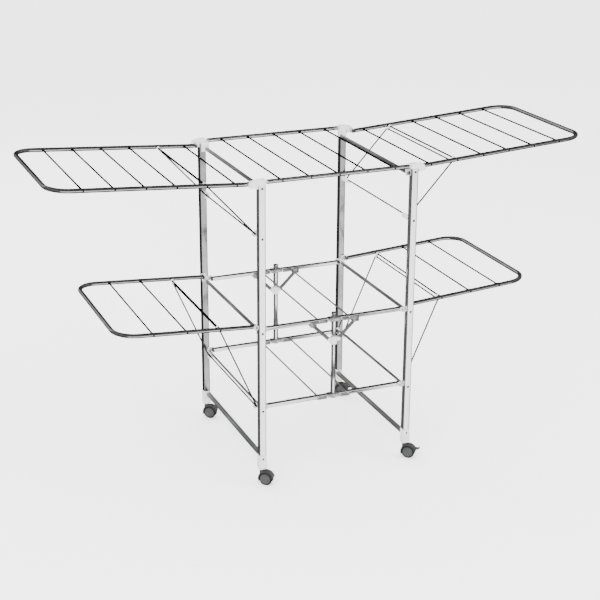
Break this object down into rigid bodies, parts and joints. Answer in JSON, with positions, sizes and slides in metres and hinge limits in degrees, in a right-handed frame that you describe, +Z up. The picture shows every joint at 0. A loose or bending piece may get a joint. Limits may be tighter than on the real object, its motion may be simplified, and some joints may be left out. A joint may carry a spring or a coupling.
{
  "type": "folding clothes drying rack",
  "caption": "Folding clothes airer: two tube end frames on casters, rod top shelf, two folding shelves and drop-down wings held open by wire props.",
  "frame": {"origin": "on the floor, midway between the four posts; it is the pos_m of mount floor_rest", "axes": "+X along the rack toward the right wings, +Y across it toward the back, +Z up"},
  "size_m": [1.949, 0.6516, 1.1353],
  "materials": {
    "polished_steel": "polished stainless tube",
    "wire_steel": "polished stainless wire",
    "satin_steel": "satin steel pins and plates",
    "white_plastic": "smooth white moulded plastic",
    "dark_plastic": "dark grey moulded plastic",
    "wheel_grey": "mid grey wheel"
  },
  "bodies": {
    "left_frame": {"post_front_left": "polished_steel", "post_back_left": "polished_steel", "top_crossbar_left": "polished_steel", "frame_crossbars_left": "polished_steel", "corner_connector_front_left": "white_plastic", "corner_connector_back_left": "white_plastic", "post_brackets_left": "white_plastic", "frame_rivets_left": "satin_steel", "caster_sockets_left": "white_plastic"},
    "right_frame": {"post_front_right": "polished_steel", "post_back_right": "polished_steel", "top_crossbar_right": "polished_steel", "frame_crossbars_right": "polished_steel", "corner_connector_front_right": "white_plastic", "corner_connector_back_right": "white_plastic", "post_brackets_right": "white_plastic", "frame_rivets_right": "satin_steel", "caster_sockets_right": "white_plastic"},
    "top_shelf": {"top_shelf_rails": "polished_steel", "top_shelf_rods": "wire_steel", "top_shelf_tongues": "white_plastic"},
    "centre_strut": {"centre_struts": "polished_steel", "strut_yokes": "satin_steel"},
    "collars": {"strut_collars": "white_plastic"},
    "straps_left": {"straps_left": "polished_steel"},
    "straps_right": {"straps_right": "polished_steel"},
    "mid_shelf_left": {"mid_shelf_left": "polished_steel", "mid_fittings_left": "polished_steel"},
    "mid_shelf_right": {"mid_shelf_right": "polished_steel", "mid_fittings_right": "polished_steel"},
    "low_shelf_left": {"low_shelf_left": "polished_steel", "low_fittings_left": "polished_steel"},
    "low_shelf_right": {"low_shelf_right": "polished_steel", "low_fittings_right": "polished_steel"},
    "upper_wing_left": {"upper_wing_left_frame": "polished_steel", "upper_wing_left_rods": "wire_steel"},
    "upper_prop_left": {"upper_prop_left": "wire_steel", "upper_prop_left_clips": "white_plastic"},
    "upper_wing_right": {"upper_wing_right_frame": "polished_steel", "upper_wing_right_rods": "wire_steel"},
    "upper_prop_right": {"upper_prop_right": "wire_steel", "upper_prop_right_clips": "white_plastic"},
    "lower_wing_left": {"lower_wing_left_frame": "polished_steel", "lower_wing_left_rods": "wire_steel"},
    "lower_prop_left": {"lower_prop_left": "wire_steel", "lower_prop_left_clips": "white_plastic"},
    "lower_wing_right": {"lower_wing_right_frame": "polished_steel", "lower_wing_right_rods": "wire_steel"},
    "lower_prop_right": {"lower_prop_right": "wire_steel", "lower_prop_right_clips": "white_plastic"},
    "caster_front_left": {"caster_hood_front_left": "dark_plastic"},
    "wheels_front_left": {"caster_wheels_front_left": "wheel_grey"},
    "caster_back_left": {"caster_hood_back_left": "dark_plastic"},
    "wheels_back_left": {"caster_wheels_back_left": "wheel_grey"},
    "caster_front_right": {"caster_hood_front_right": "dark_plastic"},
    "wheels_front_right": {"caster_wheels_front_right": "wheel_grey"},
    "pedal_front_right": {"brake_lever_front_right": "dark_plastic"},
    "caster_back_right": {"caster_hood_back_right": "dark_plastic"},
    "wheels_back_right": {"caster_wheels_back_right": "wheel_grey"},
    "pedal_back_right": {"brake_lever_back_right": "dark_plastic"}
  },
  "joints": [
    {"name": "fold", "type": "hinge", "parent": "left_frame", "child": "mid_shelf_left", "pos_m": [-0.258, 0, 0.571], "axis": [0, -1, 0], "range_deg": [0, 78]},
    {"name": "fold_strut", "type": "hinge", "parent": "mid_shelf_left", "child": "centre_strut", "pos_m": [-0.0165, 0, 0.571], "axis": [0, 1, 0], "range_deg": [0, 78]},
    {"name": "fold_mid_right", "type": "hinge", "parent": "centre_strut", "child": "mid_shelf_right", "pos_m": [0.0165, 0, 0.571], "axis": [0, 1, 0], "range_deg": [0, 78]},
    {"name": "fold_right_frame", "type": "hinge", "parent": "mid_shelf_right", "child": "right_frame", "pos_m": [0.258, 0, 0.571], "axis": [0, -1, 0], "range_deg": [0, 78]},
    {"name": "fold_low_left", "type": "hinge", "parent": "left_frame", "child": "low_shelf_left", "pos_m": [-0.258, 0, 0.284], "axis": [0, -1, 0], "range_deg": [0, 78]},
    {"name": "fold_low_right", "type": "hinge", "parent": "right_frame", "child": "low_shelf_right", "pos_m": [0.258, 0, 0.284], "axis": [0, 1, 0], "range_deg": [0, 78]},
    {"name": "lift_top_shelf", "type": "hinge", "parent": "left_frame", "child": "top_shelf", "pos_m": [-0.272, 0, 1.093], "axis": [0, -1, 0], "range_deg": [0, 90]},
    {"name": "slide_collars", "type": "slide", "parent": "centre_strut", "child": "collars", "axis": [0, 0, -1], "range_m": [0, 0.07737]},
    {"name": "turn_straps_left", "type": "hinge", "parent": "mid_shelf_left", "child": "straps_left", "pos_m": [-0.08, 0, 0.5565], "axis": [0, 1, 0], "range_deg": [0, 124.32]},
    {"name": "turn_straps_right", "type": "hinge", "parent": "mid_shelf_right", "child": "straps_right", "pos_m": [0.08, 0, 0.5565], "axis": [0, -1, 0], "range_deg": [0, 124.32]},
    {"name": "fold_wings_left", "type": "hinge", "parent": "left_frame", "child": "lower_wing_left", "pos_m": [-0.291, 0, 0.583], "axis": [0, -1, 0], "range_deg": [0, 93.9]},
    {"name": "fold_upper_wing_left", "type": "hinge", "parent": "left_frame", "child": "upper_wing_left", "pos_m": [-0.31, 0, 1.083], "axis": [0, -1, 0], "range_deg": [0, 93.9]},
    {"name": "turn_upper_prop_left", "type": "hinge", "parent": "upper_wing_left", "child": "upper_prop_left", "pos_m": [-0.4544, 0, 1.09284], "axis": [0, 1, 0], "range_deg": [0, 132.46]},
    {"name": "turn_lower_prop_left", "type": "hinge", "parent": "lower_wing_left", "child": "lower_prop_left", "pos_m": [-0.417, 0, 0.59159], "axis": [0, 1, 0], "range_deg": [0, 114.23]},
    {"name": "fold_wings_right", "type": "hinge", "parent": "right_frame", "child": "lower_wing_right", "pos_m": [0.291, 0, 0.583], "axis": [0, 1, 0], "range_deg": [0, 93.9]},
    {"name": "fold_upper_wing_right", "type": "hinge", "parent": "right_frame", "child": "upper_wing_right", "pos_m": [0.31, 0, 1.083], "axis": [0, 1, 0], "range_deg": [0, 93.9]},
    {"name": "turn_upper_prop_right", "type": "hinge", "parent": "upper_wing_right", "child": "upper_prop_right", "pos_m": [0.4544, 0, 1.09284], "axis": [0, -1, 0], "range_deg": [0, 132.46]},
    {"name": "turn_lower_prop_right", "type": "hinge", "parent": "lower_wing_right", "child": "lower_prop_right", "pos_m": [0.417, 0, 0.59159], "axis": [0, -1, 0], "range_deg": [0, 114.23]},
    {"name": "swivel_front_left", "type": "hinge", "parent": "left_frame", "child": "caster_front_left", "pos_m": [-0.278, -0.295, 0.06], "axis": [0, 0, 1], "continuous": true},
    {"name": "roll_front_left", "type": "hinge", "parent": "caster_front_left", "child": "wheels_front_left", "pos_m": [-0.26611, -0.30571, 0.024], "axis": [0.6691, 0.7431, 0], "continuous": true},
    {"name": "swivel_back_left", "type": "hinge", "parent": "left_frame", "child": "caster_back_left", "pos_m": [-0.278, 0.295, 0.06], "axis": [0, 0, 1], "continuous": true},
    {"name": "roll_back_left", "type": "hinge", "parent": "caster_back_left", "child": "wheels_back_left", "pos_m": [-0.26611, 0.28429, 0.024], "axis": [0.6691, 0.7431, 0], "continuous": true},
    {"name": "swivel_front_right", "type": "hinge", "parent": "right_frame", "child": "caster_front_right", "pos_m": [0.278, -0.295, 0.06], "axis": [0, 0, 1], "continuous": true},
    {"name": "roll_front_right", "type": "hinge", "parent": "caster_front_right", "child": "wheels_front_right", "pos_m": [0.28989, -0.30571, 0.024], "axis": [0.6691, 0.7431, 0], "continuous": true},
    {"name": "press_brake_front_right", "type": "hinge", "parent": "caster_front_right", "child": "pedal_front_right", "pos_m": [0.31107, -0.32478, 0.03669], "axis": [0.6691, 0.7431, 0], "range_deg": [0, 16]},
    {"name": "swivel_back_right", "type": "hinge", "parent": "right_frame", "child": "caster_back_right", "pos_m": [0.278, 0.295, 0.06], "axis": [0, 0, 1], "continuous": true},
    {"name": "roll_back_right", "type": "hinge", "parent": "caster_back_right", "child": "wheels_back_right", "pos_m": [0.28989, 0.28429, 0.024], "axis": [0.6691, 0.7431, 0], "continuous": true},
    {"name": "press_brake_back_right", "type": "hinge", "parent": "caster_back_right", "child": "pedal_back_right", "pos_m": [0.31107, 0.26522, 0.03669], "axis": [0.6691, 0.7431, 0], "range_deg": [0, 16]}
  ],
  "couplings": [
    {"joint": "fold_strut", "follows": "fold", "ratio": 1},
    {"joint": "fold_mid_right", "follows": "fold", "ratio": 1},
    {"joint": "fold_right_frame", "follows": "fold", "ratio": 1},
    {"joint": "fold_low_left", "follows": "fold", "ratio": 1},
    {"joint": "fold_low_right", "follows": "fold", "ratio": 1},
    {"joint": "lift_top_shelf", "follows": "fold", "ratio": 1.1538},
    {"joint": "slide_collars", "follows": "fold", "m_per_rad": 0.056833},
    {"joint": "turn_straps_left", "follows": "fold", "ratio": 1.5938},
    {"joint": "turn_straps_right", "follows": "fold", "ratio": 1.5938},
    {"joint": "fold_upper_wing_left", "follows": "fold_wings_left", "ratio": 1},
    {"joint": "turn_upper_prop_left", "follows": "fold_wings_left", "ratio": 1.4106},
    {"joint": "turn_lower_prop_left", "follows": "fold_wings_left", "ratio": 1.2165},
    {"joint": "fold_upper_wing_right", "follows": "fold_wings_right", "ratio": 1},
    {"joint": "turn_upper_prop_right", "follows": "fold_wings_right", "ratio": 1.4106},
    {"joint": "turn_lower_prop_right", "follows": "fold_wings_right", "ratio": 1.2165}
  ]
}
